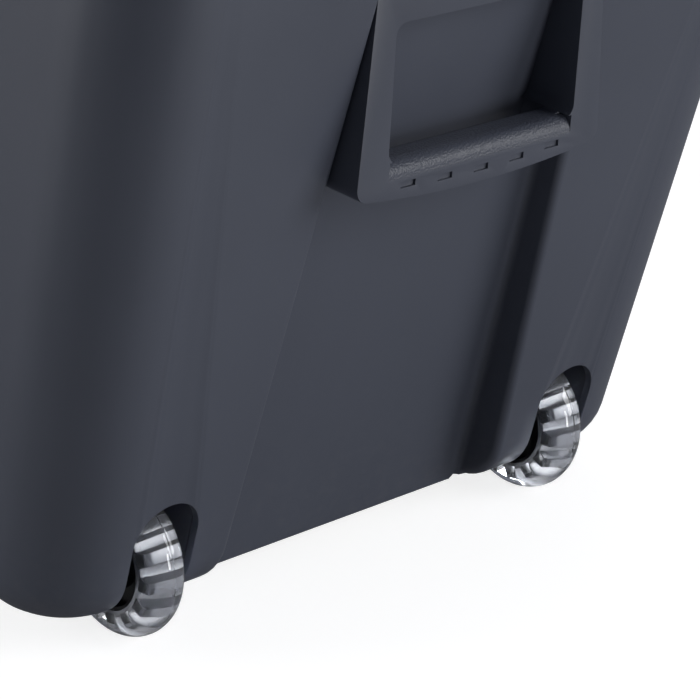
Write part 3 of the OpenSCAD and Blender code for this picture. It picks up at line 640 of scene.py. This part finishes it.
def tyre_outline():
    """Half section of the tyre as (distance along the axle, radius), from the bore round."""
    widest = math.asin(TYRE_HALF / CROWN_R) - math.radians(4)
    crown = WHEEL_R - CROWN_R
    shoulder = crown + CROWN_R * math.cos(math.asin(TYRE_HALF / CROWN_R))
    half = [(TYRE_HALF - 0.8 * MM, BORE_R), (TYRE_HALF - 0.25 * MM, BORE_R + 0.25 * MM),
            (TYRE_HALF, BORE_R + 0.8 * MM), (TYRE_HALF, shoulder - 3 * MM)]
    steps = 22
    for i in range(steps + 1):
        a = widest * (1 - i / steps)
        along, radius = CROWN_R * math.sin(a), crown + CROWN_R * math.cos(a)
        if along > GROOVE[0]:
            half.append((along, radius))
    half += [(GROOVE[0], WHEEL_R - 0.01 * MM), (0, WHEEL_R - GROOVE[1])]
    return half + [(-along, radius) for along, radius in reversed(half[:-1])]


def turned(name, outline, centre, steps=128):
    """A ring spun from its section round an axle that runs along Y."""
    points = [(centre.x, centre.y + along, centre.z + radius) for along, radius in outline]
    data = bpy.data.meshes.new(name)
    data.from_pydata(points, [(i, (i + 1) % len(points)) for i in range(len(points))], [])
    ring = bpy.data.objects.new(name, data)
    bpy.context.scene.collection.objects.link(ring)
    edit(ring)
    bpy.ops.mesh.select_all(action="SELECT")
    bpy.ops.mesh.spin(steps=steps, angle=2 * math.pi, center=centre, axis=(0, 1, 0))
    bpy.ops.mesh.select_all(action="SELECT")
    bpy.ops.mesh.remove_doubles(threshold=0.002 * MM)
    bpy.ops.mesh.normals_make_consistent(inside=False)
    bpy.ops.object.mode_set(mode="OBJECT")
    bpy.ops.object.select_all(action="DESELECT")
    ring.select_set(True)
    bpy.context.view_layer.objects.active = ring
    bpy.ops.object.shade_smooth_by_angle(angle=math.radians(40))
    return ring


clear = bpy.data.materials.new("clear_urethane")
clear.use_nodes = True
nodes, links = clear.node_tree.nodes, clear.node_tree.links
shader = nodes["Principled BSDF"]
shader.inputs["Base Color"].default_value = (1, 1, 1, 1)
shader.inputs["Transmission Weight"].default_value = 0.96
shader.inputs["IOR"].default_value = 1.49
place = nodes.new("ShaderNodeTexCoord")
haze = nodes.new("ShaderNodeTexNoise")
haze.inputs["Scale"].default_value = 260
haze.inputs["Detail"].default_value = 5
worn = nodes.new("ShaderNodeMapRange")
worn.inputs["From Min"].default_value = 0.4
worn.inputs["From Max"].default_value = 0.8
worn.inputs["To Min"].default_value = 0.015
worn.inputs["To Max"].default_value = 0.12
ripple = nodes.new("ShaderNodeBump")
ripple.inputs["Strength"].default_value = 0.5
ripple.inputs["Distance"].default_value = 0.04 * MM
links.new(place.outputs["Object"], haze.inputs["Vector"])
links.new(haze.outputs["Fac"], worn.inputs["Value"])
links.new(worn.outputs["Result"], shader.inputs["Roughness"])
links.new(haze.outputs["Fac"], ripple.inputs["Height"])
links.new(ripple.outputs["Normal"], shader.inputs["Normal"])

core_black = plastic("core_nylon", (0.010, 0.011, 0.013), (0.017, 0.018, 0.022), 0.22, dusty=0)

steel_grain = bpy.data.node_groups.new("turned_steel", "ShaderNodeTree")
number_input(steel_grain, "Lines per metre", 900)
for output in ("Height", "Tone"):
    steel_grain.interface.new_socket(output, in_out="OUTPUT", socket_type="NodeSocketFloat")
nodes, links = steel_grain.nodes, steel_grain.links
entry = nodes.new("NodeGroupInput")
leave = nodes.new("NodeGroupOutput")
place = nodes.new("ShaderNodeTexCoord")
stretch = nodes.new("ShaderNodeMapping")
stretch.inputs["Scale"].default_value = (1, 0.04, 1)
lines = nodes.new("ShaderNodeTexNoise")
lines.inputs["Detail"].default_value = 2
stain = nodes.new("ShaderNodeTexNoise")
stain.inputs["Scale"].default_value = 120
stain.inputs["Detail"].default_value = 5
links.new(place.outputs["Object"], stretch.inputs["Vector"])
links.new(stretch.outputs["Vector"], lines.inputs["Vector"])
links.new(entry.outputs["Lines per metre"], lines.inputs["Scale"])
links.new(place.outputs["Object"], stain.inputs["Vector"])
links.new(lines.outputs["Fac"], leave.inputs["Height"])
links.new(stain.outputs["Fac"], leave.inputs["Tone"])


def steel(name, dark, light, roughness, lines=900):
    """A plated or polished steel with drawn lines and slight staining."""
    material = bpy.data.materials.new(name)
    material.use_nodes = True
    nodes, links = material.node_tree.nodes, material.node_tree.links
    shader = nodes["Principled BSDF"]
    shader.inputs["Metallic"].default_value = 1
    surface = nodes.new("ShaderNodeGroup")
    surface.node_tree = steel_grain
    surface.inputs["Lines per metre"].default_value = lines
    tones = nodes.new("ShaderNodeMix")
    tones.data_type = "RGBA"
    tones.inputs[6].default_value = (*dark, 1)
    tones.inputs[7].default_value = (*light, 1)
    shine = nodes.new("ShaderNodeMapRange")
    shine.inputs["From Min"].default_value = 0.3
    shine.inputs["From Max"].default_value = 0.7
    shine.inputs["To Min"].default_value = roughness + 0.1
    shine.inputs["To Max"].default_value = roughness - 0.08
    bump = nodes.new("ShaderNodeBump")
    bump.inputs["Strength"].default_value = 0.6
    bump.inputs["Distance"].default_value = 0.01 * MM
    links.new(surface.outputs["Tone"], tones.inputs[0])
    links.new(tones.outputs[2], shader.inputs["Base Color"])
    links.new(surface.outputs["Tone"], shine.inputs["Value"])
    links.new(shine.outputs["Result"], shader.inputs["Roughness"])
    links.new(surface.outputs["Height"], bump.inputs["Height"])
    links.new(bump.outputs["Normal"], shader.inputs["Normal"])
    return material


def coat(node, material):
    """A better material on a part whose shape is right."""
    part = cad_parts[node]
    part.data.materials.clear()
    part.data.materials.append(material)


bearing_steel = steel("bearing_steel", (0.42, 0.42, 0.43), (0.60, 0.60, 0.61), 0.24)
zinc = steel("zinc_plated_steel", (0.46, 0.47, 0.48), (0.64, 0.65, 0.67), 0.33)

for side, row in CORNERS:
    low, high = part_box(f"tyre_{side}_{row}")
    body = f"wheel_{side}_{row}"
    tyre = turned(f"clear_tyre_{side}_{row}", tyre_outline(), (low + high) / 2)
    finish(tyre, clear, body, "clear_urethane", f"tyre_{side}_{row}")
    core = softened(f"core_{side}_{row}", f"toothed_core_{side}_{row}", 0.25 * MM)
    finish(core, core_black, body, "core_nylon", f"core_{side}_{row}")
    coat(f"bearings_{side}_{row}", bearing_steel)
    coat(f"axle_{side}_{row}", zinc)
coat("handle_screws", zinc)
coat("housing_screws", zinc)

# ---- Lid ---------------------------------------------------------------------------------
# A domed lid of the same polypropylene: an outer shell with a skirt over the rim, closed
# below by a flat liner, and two square steel tubes between them that keep it from sagging.
lid_grey = plastic("lid_polypropylene", (0.043, 0.048, 0.066), (0.052, 0.058, 0.079), 0.45, dusty=0)
SKIRT_Z = RIM_Z - 18 * MM            # lower edge of the skirt
EAVES_Z = RIM_Z + 23 * MM            # where the skirt turns in to the dome
DOME = (125 * MM, 45 * MM)           # how far the dome runs in, and how high it rises
LID_WALL = 3.5 * MM
TAB = (44 * MM, 18 * MM, 5 * MM)     # width, reach and thickness of the padlock tab
SHACKLE_R = 4.5 * MM
back_y = mid_y + side_y(RIM_Z)
front_y = mid_y - side_y(RIM_Z) - 14.5 * MM
half_x = face_x(RIM_Z) + 14.5 * MM
centre_y = (front_y + back_y) / 2
half_y = (back_y - front_y) / 2
lid = tapered_block("lid_cover", (-half_x, half_x, front_y, back_y, SKIRT_Z),
                    (-half_x, half_x, front_y, back_y, EAVES_Z))
edit(lid)
pick(lid, "EDGE", lambda e: abs(e.verts[0].co.z - e.verts[1].co.z) > MM)
bpy.ops.mesh.bevel(offset=CORNER_R + 10 * MM, segments=14, affect="EDGES")
pick(lid, "FACE", lambda f: f.normal.z < -0.9)
bpy.ops.mesh.delete(type="FACE")
pick(lid, "FACE", lambda f: f.normal.z > 0.9)
STEPS = 12
for step in range(STEPS):
    turn = [math.pi / 2 * (step + i) / STEPS for i in (0, 1)]
    inset = [DOME[0] * (1 - math.cos(a)) for a in turn]
    rise = DOME[1] * (math.sin(turn[1]) - math.sin(turn[0]))
    bpy.ops.mesh.extrude_region_move(TRANSFORM_OT_translate={"value": (0, 0, rise)})
    ratio = ((half_x - inset[1]) / (half_x - inset[0]), (half_y - inset[1]) / (half_y - inset[0]), 1)
    bpy.ops.transform.resize(value=ratio, center_override=(0, centre_y, 0))
# A sunk field along the top, with a soft border
bpy.ops.mesh.inset(thickness=4 * MM)
bpy.ops.mesh.inset(thickness=2.5 * MM, depth=-1.2 * MM)
bpy.ops.mesh.inset(thickness=1.5 * MM, depth=-0.3 * MM)
bpy.ops.object.mode_set(mode="OBJECT")
modifier = lid.modifiers.new("wall", "SOLIDIFY")
modifier.thickness = LID_WALL
modifier.offset = -1
modifier.use_even_offset = True
bpy.context.view_layer.objects.active = lid
bpy.ops.object.modifier_apply(modifier="wall")
# The skirt stops at the rim near the back, where the lid swings down
relief_y = back_y - CORNER_R - 16 * MM
relief = (-1, 1, relief_y, 1)
cut(lid, tapered_block("relief_tool", (*relief, SKIRT_Z - 20 * MM), (*relief, RIM_Z + 0.3 * MM)))
soften(lid, 0.9 * MM, segments=3)
tab_box = (-TAB[0] / 2, TAB[0] / 2, front_y - TAB[1], front_y + 2 * MM)
tab = tapered_block("lid_tab", (*tab_box, SKIRT_Z), (*tab_box, SKIRT_Z + TAB[2]))
edit(tab)
pick(tab, "EDGE", lambda e: all(on(v.co.y, front_y - TAB[1]) for v in e.verts)
     and abs(e.verts[0].co.z - e.verts[1].co.z) > MM)
bpy.ops.mesh.bevel(offset=8 * MM, segments=8, affect="EDGES")
bpy.ops.object.mode_set(mode="OBJECT")
bpy.ops.object.select_all(action="DESELECT")
bpy.ops.mesh.primitive_cylinder_add(vertices=48, radius=SHACKLE_R, depth=50 * MM,
                                    location=(0, front_y - TAB[1] / 2, SKIRT_Z))
cut(tab, bpy.context.object)
soften(tab, 0.8 * MM)
lid = joined(lid, tab)
finish(lid, lid_grey, "lid", "lid_plastic", "lid_shell")
finish(softened("lid_liner", "lid_lining", 0.8 * MM), inner_grey, "lid", "inner_plastic", "lid_liner")
coat("lid_tubes", zinc)

# ---- Hinges ------------------------------------------------------------------------------
# Three steel butt hinges along the back, riveted through the wall and the lid, each turning
# on a plain pin.
hinge_steel = steel("hinge_steel", (0.30, 0.30, 0.31), (0.44, 0.44, 0.45), 0.38, lines=500)
for body in ("box", "lid"):
    finish(softened(f"hinge_leaves_{body}", f"{body}_leaves", 0.3 * MM), hinge_steel, body,
           "hinge_steel", f"hinge_leaves_{body}")
for node in ("hinge_pins", "hinge_rivets_box", "hinge_rivets_lid"):
    coat(node, zinc)
